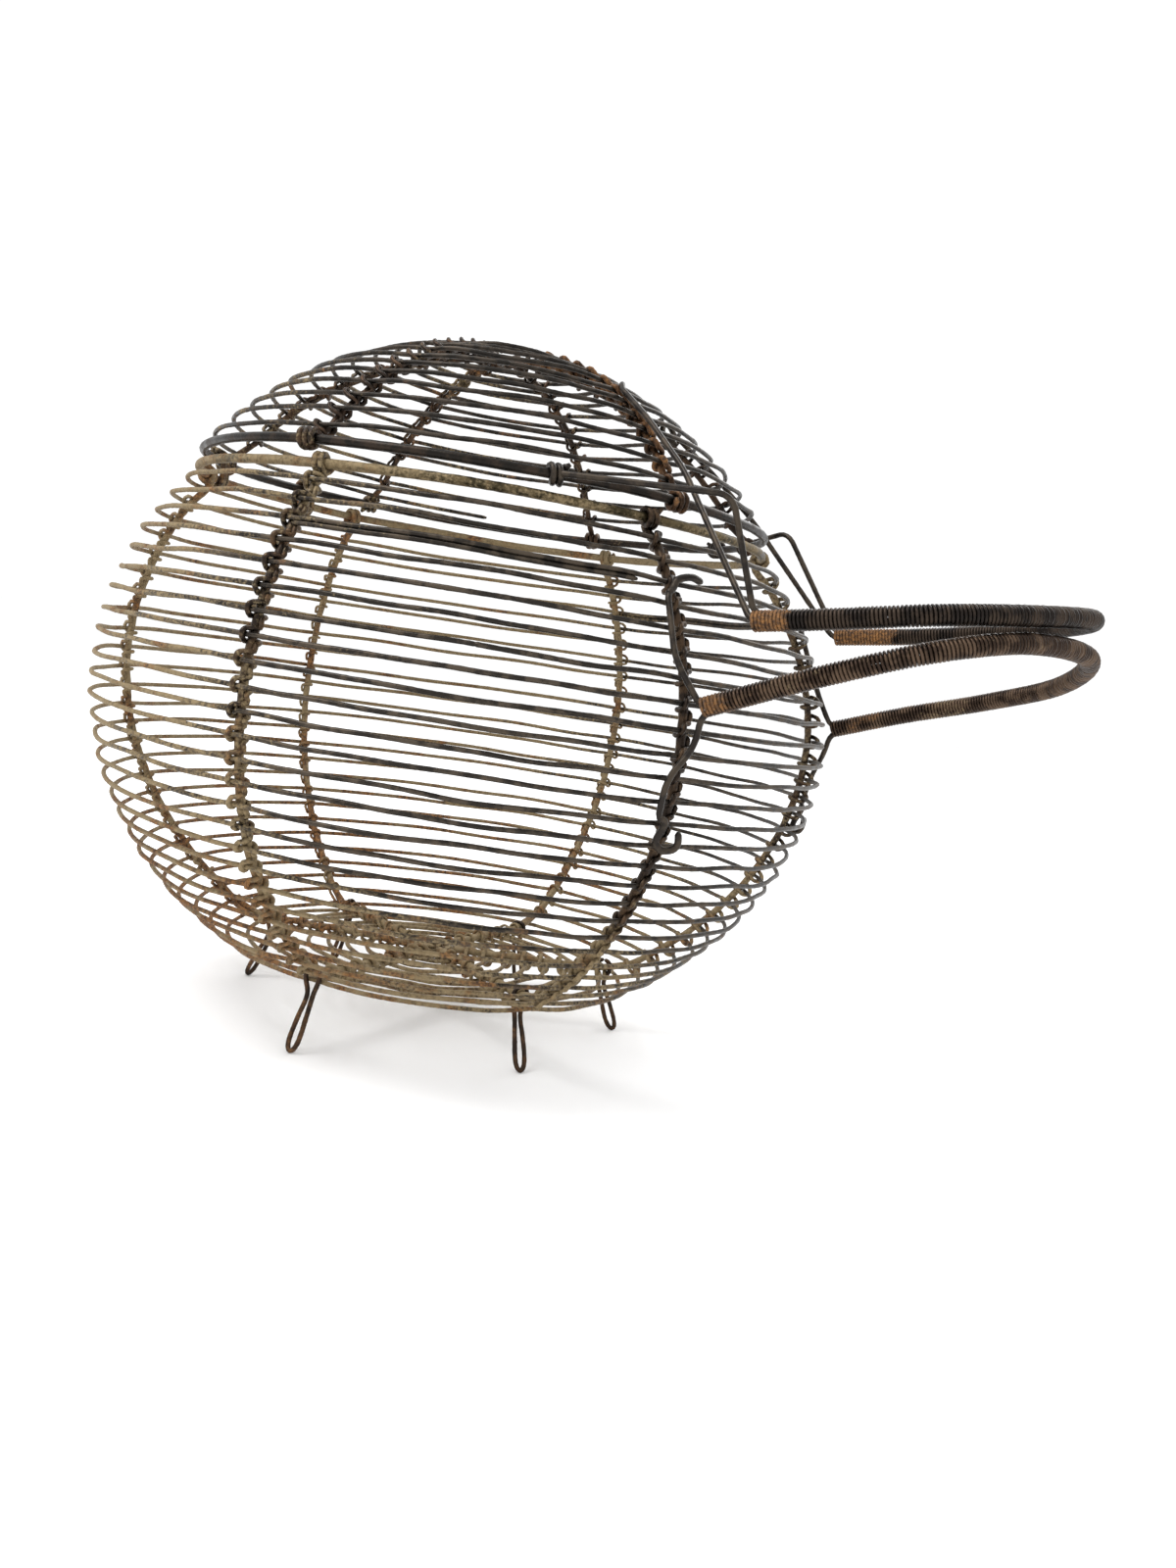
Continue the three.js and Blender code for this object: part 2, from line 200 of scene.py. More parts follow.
def aged_steel():
    """Bare steel under brown bloom, khaki dust and orange rust, each in patches of its own size."""
    group, given, made = new_group(
        "Aged steel",
        [
            ("Bare", COLOR, tint("2e2a26")),
            ("Bloom", COLOR, tint("54473a")),
            ("Dust", FLOAT, 0.3),
            ("Rust", FLOAT, 0.3),
        ],
        [("Color", COLOR), ("Roughness", FLOAT), ("Metallic", FLOAT), ("Height", FLOAT)],
    )
    place = add_node(group, "TexCoord").outputs["Object"]
    patches = noise_node(group, place, 38.0, 4.0, 0.6)
    streaks = noise_node(group, place, 160.0, 4.0, 0.6)
    grains = noise_node(group, place, 900.0, 3.0, 0.65)
    flakes = add_node(group, "TexVoronoi", Vector=place, Scale=1300.0).outputs["Distance"]

    bloom = step_up(group, streaks, 0.42, 0.6)
    color = blend_colors(group, bloom, given.outputs["Bare"], given.outputs["Bloom"])
    dust_mix = math_node(group, "ADD", math_node(group, "MULTIPLY", patches, 0.55),
                         math_node(group, "MULTIPLY", grains, 0.45))
    dust_edge = math_node(group, "SUBTRACT", 0.78, math_node(group, "MULTIPLY", given.outputs["Dust"], 0.5))
    dust = step_up(group, math_node(group, "SUBTRACT", dust_mix, dust_edge), -0.06, 0.1)
    dusty = blend_colors(group, grains, tint("54462f"), tint("a08c68"))
    color = blend_colors(group, dust, color, dusty)

    moved = add_node(group, "Mapping", Vector=place, Location=(3.1, 1.7, 0.4)).outputs[0]
    blotches = noise_node(group, moved, 55.0, 5.0, 0.65)
    rust_mix = math_node(group, "ADD", math_node(group, "MULTIPLY", blotches, 0.6),
                         math_node(group, "MULTIPLY", streaks, 0.4))
    rust_edge = math_node(group, "SUBTRACT", 0.8, math_node(group, "MULTIPLY", given.outputs["Rust"], 0.5))
    rust = step_up(group, math_node(group, "SUBTRACT", rust_mix, rust_edge), -0.05, 0.1)
    rusty = blend_colors(group, step_up(group, grains, 0.35, 0.68), tint("45301f"), tint("8e6336"))
    color = blend_colors(group, rust, color, rusty)

    dull = math_node(group, "MAXIMUM", rust, math_node(group, "MULTIPLY", dust, 0.85))
    rough = math_node(group, "ADD", 0.36, math_node(group, "MULTIPLY", bloom, 0.14))
    rough = math_node(group, "ADD", rough, math_node(group, "MULTIPLY", dull, 0.36), clamp=True)
    metal = math_node(group, "SUBTRACT", 0.85, math_node(group, "MULTIPLY", dull, 0.75), clamp=True)
    height = math_node(group, "ADD", math_node(group, "MULTIPLY", grains, 0.6),
                       math_node(group, "MULTIPLY", flakes, 0.5))
    for label, value in (("Color", color), ("Roughness", rough), ("Metallic", metal), ("Height", height)):
        group.links.new(value, made.inputs[label])
    return group


AGED_STEEL = aged_steel()
print("group:", AGED_STEEL.name, len(AGED_STEEL.nodes), "nodes")

# %% [markdown]
# A second group turns the place on the object into a share of dust and rust, from 0 to 1, that
# grows towards the hinge side, the foot of the wall and the far side. On a grip it also marks the root,
# the short length next to the wall.

# %% The side share group
def side_share_group():
    group, given, made = new_group(
        "Side share",
        [
            ("Least", FLOAT, 0.1),
            ("Most", FLOAT, 0.8),
            ("Low", FLOAT, 0.2),
            ("Back", FLOAT, 0.2),
            ("Root", FLOAT, 0.0),
        ],
        [("Share", FLOAT)],
    )
    place = add_node(group, "TexCoord").outputs["Object"]
    parts = add_node(group, "SeparateXYZ", Vector=place)
    # The share grows towards the hinge side, towards the foot of the wall and towards the far side.
    towards_hinge = math_node(group, "MULTIPLY", parts.outputs["X"], -1.0)
    hinge_side = step_up(group, towards_hinge, -0.07, 0.14)
    foot_side = step_up(group, math_node(group, "SUBTRACT", 0.085, parts.outputs["Z"]), 0.0, 0.05)
    far_side = step_up(group, parts.outputs["Y"], -0.03, 0.11)
    share = math_node(group, "SUBTRACT", given.outputs["Most"], given.outputs["Least"])
    share = math_node(group, "MULTIPLY", share, hinge_side)
    share = math_node(group, "ADD", share, given.outputs["Least"])
    share = math_node(group, "ADD", share, math_node(group, "MULTIPLY", foot_side, given.outputs["Low"]))
    share = math_node(group, "ADD", share, math_node(group, "MULTIPLY", far_side, given.outputs["Back"]))
    root = step_up(group, towards_hinge, -0.1, -0.085)
    share = math_node(group, "ADD", share, math_node(group, "MULTIPLY", root, given.outputs["Root"]))
    group.links.new(share, made.inputs["Share"])
    return group


SIDE_SHARE_GROUP = side_share_group()
print("group:", SIDE_SHARE_GROUP.name)

# %% One steel for each kind of wire
def steel(name, bare, bloom, dust, rust, bump=0.6, depth=0.12 * MM):
    """A material of aged steel. dust and rust are each least, most, low, back and, on a grip, root."""
    material = bpy.data.materials.new(name)
    material.use_nodes = True
    tree = material.node_tree
    shader = tree.nodes["Principled BSDF"]
    skin = tree.nodes.new("ShaderNodeGroup")
    skin.node_tree = AGED_STEEL
    skin.inputs["Bare"].default_value = tint(bare)
    skin.inputs["Bloom"].default_value = tint(bloom)
    for label, shares in (("Dust", dust), ("Rust", rust)):
        side = tree.nodes.new("ShaderNodeGroup")
        side.node_tree = SIDE_SHARE_GROUP
        for socket, value in zip(side.inputs, shares):
            socket.default_value = value
        tree.links.new(side.outputs["Share"], skin.inputs[label])
    relief = add_node(tree, "Bump", Strength=bump, Distance=depth, Height=skin.outputs["Height"])
    tree.links.new(skin.outputs["Color"], shader.inputs["Base Color"])
    tree.links.new(skin.outputs["Roughness"], shader.inputs["Roughness"])
    tree.links.new(skin.outputs["Metallic"], shader.inputs["Metallic"])
    tree.links.new(relief.outputs["Normal"], shader.inputs["Normal"])
    return material


WALL_STEEL = steel("wall_steel", "2b2723", "4f463c", (0.0, 0.95, 0.5, 0.1), (0.24, 0.55, 0.24, 0.0))
LID_STEEL = steel("lid_wall_steel", "282522", "453e37", (0.05, 0.5, 0.0, 0.1), (0.2, 0.45, 0.0, 0.1))
BASE_STEEL = steel("base_steel", "3a2e22", "66503a", (0.6, 0.75, 0.0, 0.1), (0.42, 0.55, 0.0, 0.0))
DARK_RIM_STEEL = steel("lid_rim_steel", "1f1c19", "352c25", (0.0, 0.3, 0.0, 0.1), (0.15, 0.45, 0.0, 0.0))
KHAKI_RIM_STEEL = steel("bowl_rim_steel", "37301f", "5c5038", (0.5, 0.8, 0.0, 0.2), (0.25, 0.62, 0.0, 0.0))
ROD_STEEL = steel("rod_steel", "2a221c", "4d3d2e", (0.28, 0.82, 0.4, 0.35), (0.36, 0.58, 0.12, 0.1), 0.8)
LID_ROD_STEEL = steel("lid_rod_steel", "2a221c", "48372a", (0.1, 0.5, 0.0, 0.1), (0.2, 0.5, 0.0, 0.0), 0.8)
RUSTY_ROD_STEEL = steel("rusty_rod_steel", "33251a", "553b27",
                        (0.1, 0.5, 0.0, 0.1), (0.62, 0.7, 0.0, 0.0), 0.9)
BOWL_GRIP_STEEL = steel("bowl_grip_steel", "33271f", "5b4a3c",
                        (0.3, 0.3, 0.0, 0.0, 0.1), (0.3, 0.3, 0.0, 0.0, 0.3), 0.3)
LID_GRIP_STEEL = steel("lid_grip_steel", "211c19", "3d332b",
                       (0.1, 0.2, 0.0, 0.0, 0.0), (0.2, 0.2, 0.0, 0.0, 0.55), 0.3)
STRUT_STEEL = steel("strut_steel", "2b2724", "453d34", (0.1, 0.5, 0.0, 0.0), (0.15, 0.5, 0.0, 0.0), 0.4)
FOOT_STEEL = steel("foot_steel", "2b221c", "4a3626", (0.05, 0.3, 0.0, 0.1), (0.45, 0.6, 0.0, 0.0))
print("steels:", len(bpy.data.materials))

# %% [markdown]
# ## Making a wire
# A wire could be a swept mesh, but Blender's curves already do that: a poly curve with a round bevel is a
# wire, and a radius on each point makes it thick and thin. The curve is then made a mesh, its skin is
# pushed in and out by a little noise, and its faces are checked to point outwards. One piece may hold
# several strands.

# %% Paths
def smooth_path(points, step):
    """Points about one step apart on a smooth line through the given points."""
    ends = [2 * points[0] - points[1], *points, 2 * points[-1] - points[-2]]
    line = []
    for before, here, there, after in zip(ends, ends[1:], ends[2:], ends[3:]):
        pull = (there - here).length / 3
        leave = (there - before).normalized() * pull
        arrive = (after - here).normalized() * pull
        count = max(2, ceil((there - here).length / step) + 1)
        line += interpolate_bezier(here, here + leave, there - arrive, there, count)[:-1]
    return line + [points[-1].copy()]


def bent_path(points, bend, step=1.2 * MM):
    """Straight lengths with rounded corners, as pliers leave them."""
    line = [points[0].copy()]
    for before, corner, after in zip(points, points[1:], points[2:]):
        into = corner - before
        away = after - corner
        reach = min(bend, into.length / 2, away.length / 2)
        start = corner - into.normalized() * reach
        end = corner + away.normalized() * reach
        count = max(2, ceil((start - line[-1]).length / step) + 1)
        line += [line[-1].lerp(start, i / (count - 1)) for i in range(1, count)]
        pull = reach * 0.55
        leaving = start + into.normalized() * pull
        arriving = end - away.normalized() * pull
        line += interpolate_bezier(start, leaving, arriving, end, 5)[1:]
    count = max(2, ceil((points[-1] - line[-1]).length / step) + 1)
    last = line[-1].copy()
    return line + [last.lerp(points[-1], i / (count - 1)) for i in range(1, count)]


# The vector noise behind a drift starts from the clock unless it is given a seed.
DRIFT_SEED = 7
noise.seed_set(DRIFT_SEED)


def wander(place, size, reach, shift=0.0):
    """A slow, hand-bent drift: up to about size, changing over reach."""
    return noise.noise_vector(place / reach + Vector((shift, 2.3 * shift, -shift))) * size


STEPS_PER_TURN = 14


def coil(centre, axis, bore, thick, turns, pitch, start=0.0, stretch=None):
    """Turns of wire round an axis. stretch is a vector that draws each turn out to an oval."""
    axis = axis.normalized()
    side = axis.orthogonal().normalized()
    other = axis.cross(side)
    steps = ceil(turns * STEPS_PER_TURN)
    line = []
    for i in range(steps + 1):
        share = i / steps
        angle = start + share * turns * 2 * pi
        away = side * cos(angle) + other * sin(angle)
        place = centre + away * (bore + thick / 2) + axis * ((share - 0.5) * turns * pitch)
        if stretch is not None:
            place += stretch * (0.5 if away.dot(stretch) > 0 else -0.5)
        line.append(place)
    return line


# %% Wires to meshes
def wire_piece(name, strands, sides=8, lump=0.06, skin=0.05 * MM, closed=False):
    """One mesh of round wires. A strand is its points and its thickness."""
    curve = bpy.data.curves.new(name, "CURVE")
    curve.dimensions = "3D"
    curve.twist_mode = "MINIMUM"
    curve.bevel_depth = MM / 2
    curve.bevel_resolution = (sides - 4) // 2
    curve.use_fill_caps = not closed
    for points, thick in strands:
        spline = curve.splines.new("POLY")
        spline.points.add(len(points) - 1)
        spline.use_cyclic_u = closed
        for knot, place in zip(spline.points, points):
            knot.co = (*place, 1)
            knot.radius = thick / MM * (1 + lump * noise.noise(place / (1.4 * MM)))
        if not closed:
            spline.points[0].radius *= 0.6
            spline.points[-1].radius *= 0.6
    drawn = bpy.data.objects.new(name, curve)
    bpy.context.scene.collection.objects.link(drawn)
    graph = bpy.context.evaluated_depsgraph_get()
    mesh = bpy.data.meshes.new_from_object(drawn.evaluated_get(graph))
    bpy.data.objects.remove(drawn)
    bpy.data.curves.remove(curve)
    work = bmesh.new()
    work.from_mesh(mesh)
    bmesh.ops.remove_doubles(work, verts=work.verts, dist=0.001 * MM)
    bmesh.ops.recalc_face_normals(work, faces=work.faces)
    work.normal_update()
    for vert in work.verts:
        vert.co += vert.normal * skin * noise.noise(vert.co / (0.9 * MM))
    for face in work.faces:
        face.smooth = True
    work.to_mesh(mesh)
    work.free()
    mesh.name = name
    piece = bpy.data.objects.new(name, mesh)
    bpy.context.scene.collection.objects.link(piece)
    return piece


def place_piece(piece, material, body, slot, *nodes):
    """Gives a piece its material and its body, and hides the nodes that it stands for. The slot is not
    used.
    """
    piece.data.materials.clear()
    piece.data.materials.append(material)
    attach(piece, body)
    if nodes:
        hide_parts(*nodes)
    print(piece.name, len(piece.data.polygons), "faces")
    return piece


# %% [markdown]
# ## Rims
# Each rim is a ring of wire twice as thick as the rest, bent round a form by hand, so it isn't quite
# true. It is a closed curve, so it has no ends to cap.

# %% Two rims
RIM_STEPS = 360
RIM_DRIFT = 0.7 * MM
RIM_DRIFT_REACH = 45 * MM


def rim_point(angle, radius, height):
    return around(angle, radius, height, lean_back)


def bent_rim_point(angle, height):
    place = rim_point(angle, rim_radius, height)
    return place + wander(place, RIM_DRIFT, RIM_DRIFT_REACH, height / MM)


def make_rim(name, height, body, material, node):
    points = [bent_rim_point(360 * i / RIM_STEPS, height) for i in range(RIM_STEPS)]
    piece = wire_piece(name, [(points, RIM_THICK)], 12, 0.05, 0.08 * MM, closed=True)
    return place_piece(piece, material, body, "rim_wire", node)


make_rim("bowl_rim_ring", rim_height, "bowl", KHAKI_RIM_STEEL, "bowl_rim")
make_rim("lid_rim_ring", lid_rim_height, "lid", DARK_RIM_STEEL, "lid_rim")

# %% [markdown]
# ## The spirals
# The wall is one wire wound down from the rim in 26 turns, and the base and the lid are wound the same
# way. Between the rods the wire bows out a little, and where a rod holds it, it is drawn in. Every turn
# also wanders by itself, so that no two gaps are quite alike.

# %% The line of each spiral
# Where each rod starts, in degrees round the basket, and how much further round it ends. A bowl's rod is
# followed from the base to the rim, and a lid's rod from the rim to the top.
BOWL_ROD_ANGLES = [-89.5, -31.0, 33.5, 88.0, 154.0, 196.0]
BOWL_ROD_LEAN = [0.0, 0.8, -9.0, 0.0, 0.0, 12.0]
LID_ROD_ANGLES = [-92.7, -25.0, 38.0, 92.5, 149.5, 197.5]
LID_ROD_LEAN = [6.0, 8.0, -5.0, -3.0, 0.0, 0.0]
LID_ROD_END = 82.0
START_ANGLE = -60.0
START_TURN = 0.5
FIRST_HELD_TURN = 0.75
WALL_TURNS = 26
LID_TURNS = 14
BASE_TURNS = 9
BASE_START_TURN = 0.6
FIRST_BASE_TURN = 0.5
LAST_HELD_WALL_TURN = WALL_TURNS - 0.6
LAST_HELD_LID_TURN = LID_TURNS - 0.2
WALL_STEP = (RIM_LATITUDE + BASE_LATITUDE) / WALL_TURNS
LID_STEP = (LID_END_LATITUDE - RIM_LATITUDE) / LID_TURNS
BASE_EYE_RADIUS = 8 * MM
base_radius = equator_radius * cos(radians(BASE_LATITUDE))
base_pitch = (base_radius - BASE_EYE_RADIUS) / BASE_TURNS
KINK_REACH = 3.5
BOW = 0.25 * MM
# How far a turn drifts and over what length, and the shifts that make one turn drift unlike the next.
DRIFT = 0.8 * MM
DRIFT_REACH = 30 * MM
BASE_DRIFT = 0.9 * MM
BASE_DRIFT_REACH = 22 * MM
TURN_SHIFT = 3.1
LID_SHIFT = 50
BASE_SHIFT = 90


def bowl_rod_angle(index, latitude):
    share = (latitude + BASE_LATITUDE) / (RIM_LATITUDE + BASE_LATITUDE)
    return BOWL_ROD_ANGLES[index] + BOWL_ROD_LEAN[index] * share


def lid_rod_angle(index, latitude):
    share = (latitude - RIM_LATITUDE) / (LID_ROD_END - RIM_LATITUDE)
    return LID_ROD_ANGLES[index] + LID_ROD_LEAN[index] * share


def held_in(angle, rod_angles):
    """1 where a rod holds the wire, and less on each side of it."""
    apart = min(abs((angle - rod + 180) % 360 - 180) for rod in rod_angles)
    return 1 / (1 + (apart / KINK_REACH) ** 2)


def wall_turn(turn):
    angle = START_ANGLE + 360 * turn
    latitude = RIM_LATITUDE - WALL_STEP * turn
    held = held_in(angle, [bowl_rod_angle(i, latitude) for i in range(len(BOWL_ROD_ANGLES))])
    place = bowl_point(angle, latitude, BOW - 2 * BOW * held)
    return place + wander(place, DRIFT * (1 - 0.6 * held), DRIFT_REACH, TURN_SHIFT * turn)


def lid_turn(turn):
    angle = START_ANGLE + 360 * turn
    latitude = RIM_LATITUDE + LID_STEP * turn
    held = held_in(angle, [lid_rod_angle(i, latitude) for i in range(len(LID_ROD_ANGLES))])
    place = lid_point(angle, latitude, BOW - 2 * BOW * held)
    return place + wander(place, DRIFT * (1 - 0.6 * held), DRIFT_REACH, LID_SHIFT + TURN_SHIFT * turn)


def base_turn(turn):
    place = base_point(START_ANGLE + 360 * turn, base_radius - base_pitch * turn)
    return place + wander(place, BASE_DRIFT, BASE_DRIFT_REACH, BASE_SHIFT + TURN_SHIFT * turn)


# %% Wind the wall, the base and the lid
WIND_STEP = 1.3 * MM


def wind(name, line, start, end, radius, body, material, node):
    """One length of a spiral, between two turn counts."""
    steps = ceil((end - start) * 2 * pi * radius / WIND_STEP)
    points = [line(start + (end - start) * i / steps) for i in range(steps + 1)]
    piece = wire_piece(name, [(points, WIRE_THICK)], 8, 0.1, 0.06 * MM)
    return place_piece(piece, material, body, "wall_wire", node)


# Each length runs on a hair past the start of the next, so that no gap shows at a splice.
WALL_END_TURN = WALL_TURNS + 0.45
WALL_LENGTHS = [START_TURN, 7, 13.25, 19.5, WALL_END_TURN]
for number, (start, end) in enumerate(zip(WALL_LENGTHS, WALL_LENGTHS[1:]), 1):
    wind(f"wall_coil_{number}", wall_turn, start, end + 0.002, equator_radius, "bowl", WALL_STEEL,
         f"bowl_wire_{number}")
wind("base_coil_outer", base_turn, BASE_START_TURN, 5.013, base_radius * 0.8, "bowl", BASE_STEEL,
     "base_wire_outer")
wind("base_coil_inner", base_turn, 5.01, BASE_TURNS, base_radius * 0.5, "bowl", BASE_STEEL,
     "base_wire_inner")
wind("lid_coil_lower", lid_turn, START_TURN, 7.003, rim_radius, "lid", LID_STEEL, "lid_wire_lower")
wind("lid_coil_upper", lid_turn, 7, LID_TURNS, rim_radius * 0.6, "lid", LID_STEEL, "lid_wire_upper")

# %% [markdown]
# ## Rods and their lashing
# A rod runs inside the wall from the rim to the middle of the base. A thinner wire runs down it and takes
# one loop round every turn of the wall, which is what holds the basket together. The loop stands out on
# one side of the rod. Each crossing is found from the spiral itself, so the loops stay on the wire when
# a size changes.

# %% Where a rod crosses the turns
def crossings(angle_at, first, last):
    """The turn counts at which a rod meets a spiral. angle_at gives the rod's angle at a turn count."""
    found = []
    for whole in range(-1, ceil(last) + 1):
        turn = whole + 0.5
        for _ in range(4):
            turn = whole + ((angle_at(turn) - START_ANGLE) / 360) % 1
        if first <= turn <= last:
            found.append(turn)
    return found


# One loop of lashing: how far out of the wall, to the loop's side and along the rod, in millimetres
# from the rod's centre where it crosses a turn.
LASH_LOOP = [
    (0.2, -1.9, -2.6),
    (1.8, -0.8, -2.2),
    (2.4, 0.8, -1.9),
    (3.1, 2.1, -1.2),
    (3.3, 2.7, 0.0),
    (1.6, 2.9, 1.4),
    (-0.4, 1.9, 1.3),
    (-1.9, 0.3, 0.9),
    (-1.3, -1.6, 1.3),
    (0.6, -2.0, 2.3),
]


def crossing_frame(place, out, along, hand):
    """Out of the wall, to the loop's side, and along the rod, at a crossing."""
    along = (along - out * along.dot(out)).normalized()
    return place, out, along.cross(out) * hand, along


def rod_and_lashing(crossed, start, end, style, dice):
    """The two strands of one rod. crossed is the list of crossing frames from one end to the other."""
    rod_thick, lash_thick, loop_size = style
    inside = (WIRE_THICK + rod_thick) / 2
    rod = [*start, *[place - out * inside for place, out, _, _ in crossed], *end]
    lashing = []
    for place, out, side, along in crossed:
        centre = place - out * inside
        size = loop_size * dice.uniform(0.85, 1.15)
        slip = dice.uniform(-0.4, 0.4)
        for outward, sideways, onward in LASH_LOOP:
            reach = size if sideways > 2 else 1.0
            offset = out * outward + side * sideways * reach + along * (onward + slip)
            lashing.append(centre + offset * MM)
    return [
        (smooth_path(rod, 1.6 * MM), rod_thick),
        (smooth_path(lashing, 0.9 * MM), lash_thick),
    ]


# %% [markdown]
# At the rim the rod's end is wound round the ring two or three times. A last stub of wire is left where
# the pliers let go.

# %% Wraps round the rims
WRAP_THICK = 2.0 * MM


def rim_wrap(angle, height, dice, turns=2.2):
    centre = bent_rim_point(angle, height)
    axis = bent_rim_point(angle + 1, height) - centre
    start = dice.uniform(0, 2 * pi)
    line = coil(centre, axis, RIM_THICK / 2, WRAP_THICK, turns, WRAP_THICK * 1.02, start)
    stub = line[-1] + (line[-1] - centre).normalized() * 1.5 * MM
    return [([*line, stub], WRAP_THICK)]


# %% Six rods of the bowl
# Each rod's thickness, its lashing's thickness, and how far its loops stand out.
BOWL_ROD_STYLES = [
    (2.7 * MM, 1.6 * MM, 0.55), (2.8 * MM, 1.5 * MM, 0.8), (2.5 * MM, 1.5 * MM, 1.15),
    (2.8 * MM, 1.1 * MM, 0.7), (2.7 * MM, 1.1 * MM, 0.75), (2.5 * MM, 1.3 * MM, 1.0),
]


def inward_at(angle):
    """The level direction from an angle round the basket to its axis."""
    return around(angle, 0, 0) - around(angle, 1, 0)


def normal_at(point_at, angle, latitude):
    return (point_at(angle, latitude, MM) - point_at(angle, latitude)).normalized()


def bowl_rod(index):
    dice = Random(100 + index)

    def angle_at(turn):
        return bowl_rod_angle(index, RIM_LATITUDE - WALL_STEP * turn)

    crossed = []
    for turn in crossings(angle_at, FIRST_HELD_TURN, LAST_HELD_WALL_TURN):
        angle = angle_at(turn)
        latitude = RIM_LATITUDE - WALL_STEP * turn
        down = bowl_point(angle, latitude - 1) - bowl_point(angle, latitude)
        crossed.append(crossing_frame(wall_turn(turn), normal_at(bowl_point, angle, latitude), down, 1))
    base_angle = BOWL_ROD_ANGLES[index]
    hub = around(base_angle, BASE_EYE_RADIUS * 0.45, base_height + 2 * MM)
    for turn in crossings(lambda turn: base_angle, FIRST_BASE_TURN, BASE_TURNS):
        crossed.append(crossing_frame(base_turn(turn), -UP, inward_at(base_angle), 1))
    angle = bowl_rod_angle(index, RIM_LATITUDE)
    inward = inward_at(angle)
    rim = bent_rim_point(angle, rim_height)
    start = [rim - inward * 0.5 * MM - UP * 0.6 * MM, rim - UP * 2.6 * MM + inward * 1.6 * MM]
    strands = rod_and_lashing(crossed, start, [hub], BOWL_ROD_STYLES[index], dice)
    strands += rim_wrap(angle, rim_height, dice)
    piece = wire_piece(f"bowl_rod_{index + 1}", strands, 8, 0.12, 0.14 * MM)
    return place_piece(piece, ROD_STEEL, "bowl", "rib_wire", f"bowl_rib_{index + 1}")


for index in range(len(BOWL_ROD_ANGLES)):
    bowl_rod(index)

# %% Six rods of the lid
LID_ROD_STYLES = [
    (2.3 * MM, 1.4 * MM, 1.0), (2.4 * MM, 1.7 * MM, 0.8), (2.3 * MM, 1.4 * MM, 1.0),
    (2.3 * MM, 1.1 * MM, 0.8), (2.3 * MM, 1.1 * MM, 0.8), (2.3 * MM, 1.3 * MM, 0.9),
]


def lid_rod(index):
    dice = Random(200 + index)

    def angle_at(turn):
        return lid_rod_angle(index, RIM_LATITUDE + LID_STEP * turn)

    crossed = []
    for turn in crossings(angle_at, FIRST_HELD_TURN, LAST_HELD_LID_TURN):
        angle = angle_at(turn)
        latitude = RIM_LATITUDE + LID_STEP * turn
        up = lid_point(angle, latitude + 1) - lid_point(angle, latitude)
        crossed.append(crossing_frame(lid_turn(turn), normal_at(lid_point, angle, latitude), up, -1))
    angle = LID_ROD_ANGLES[index]
    rim = bent_rim_point(angle, lid_rim_height)
    inward = inward_at(angle)
    start = [rim + UP * 0.6 * MM, rim + UP * 2.6 * MM + inward * 1.6 * MM]
    top = around(angle, 3 * MM, lid_top - 2 * MM, lean_back)
    strands = rod_and_lashing(crossed, start, [top], LID_ROD_STYLES[index], dice)
    strands += rim_wrap(angle, lid_rim_height, dice, 2.6)
    piece = wire_piece(f"lid_rod_{index + 1}", strands, 8, 0.16, 0.16 * MM)
    material = RUSTY_ROD_STEEL if index == 1 else LID_ROD_STEEL
    return place_piece(piece, material, "lid", "rib_wire", f"lid_rib_{index + 1}")


for index in range(len(LID_ROD_ANGLES)):
    lid_rod(index)

# %% [markdown]
# ## The hub
# Where the rods meet under the salad, their ends are twisted into one tangle with a short length of
# binding wire. The tangle is a few turns of a loose ball, drawn from seeded dice so that it is the same
# each time.

# %% The tangle in the middle of the base, and the one on top of the lid
def tangle(centre, radius, depth, turns, seed):
    """A wire wound to and fro in a flat ball."""
    dice = Random(seed)
    points = []
    for i in range(turns * 5):
        angle = i * 2 * pi / 5 + dice.uniform(-0.35, 0.35)
        reach = radius * dice.uniform(0.35, 1.0)
        lift = depth * dice.uniform(-1, 1)
        points.append(centre + Vector((reach * cos(angle), reach * sin(angle), lift)))
    return smooth_path(points, 0.9 * MM)


base_hub = around(0, 0, base_height + 1.5 * MM)
hub_piece = wire_piece(
    "base_hub_tangle",
    [
        (tangle(base_hub, 9 * MM, 2.2 * MM, 6, 5), 1.7 * MM),
        (tangle(base_hub, 6 * MM, 3 * MM, 4, 6), 1.3 * MM),
    ],
    8, 0.15, 0.15 * MM)
place_piece(hub_piece, BASE_STEEL, "bowl", "rib_wire")
lid_hub = around(0, 0, lid_top - 1.6 * MM, lean_back)
lid_hub_piece = wire_piece(
    "lid_hub_tangle", [(tangle(lid_hub, 5 * MM, 1.5 * MM, 4, 7), 1.5 * MM)], 8, 0.15, 0.15 * MM)
place_piece(lid_hub_piece, LID_ROD_STEEL, "lid", "rib_wire")

# %% [markdown]
# ## Feet
# A foot is one hairpin of wire. Its legs come down side by side from the rod, open a little, and close in
# a round loop that stands on the table. At the top they part to pass the rod and close over it.

# %% Six hairpins
FOOT_THICK = 1.6 * MM
FOOT_TOP_RADIUS = 62 * MM
FOOT_RADIUS = 69 * MM
FOOT_SPREAD_BELOW = 17.5
# How much further out each foot stands, in millimetres, and how it is twisted, in degrees.
FOOT_SHIFTS = [10.0, 0.0, 1.0, 0.0, 0.0, -1.0]
FOOT_TWISTS = [0.0, 0.0, 65.0, 0.0, 20.0, -25.0]
# Half of a hairpin from its top down: to the side, and up from the ground, in millimetres.
FOOT_LEG = [(0.2, 26.2), (2.2, 25.0), (2.5, 22.6), (1.1, 17.5), (1.5, 10.5), (1.75, 5.0), (1.3, 2.0)]


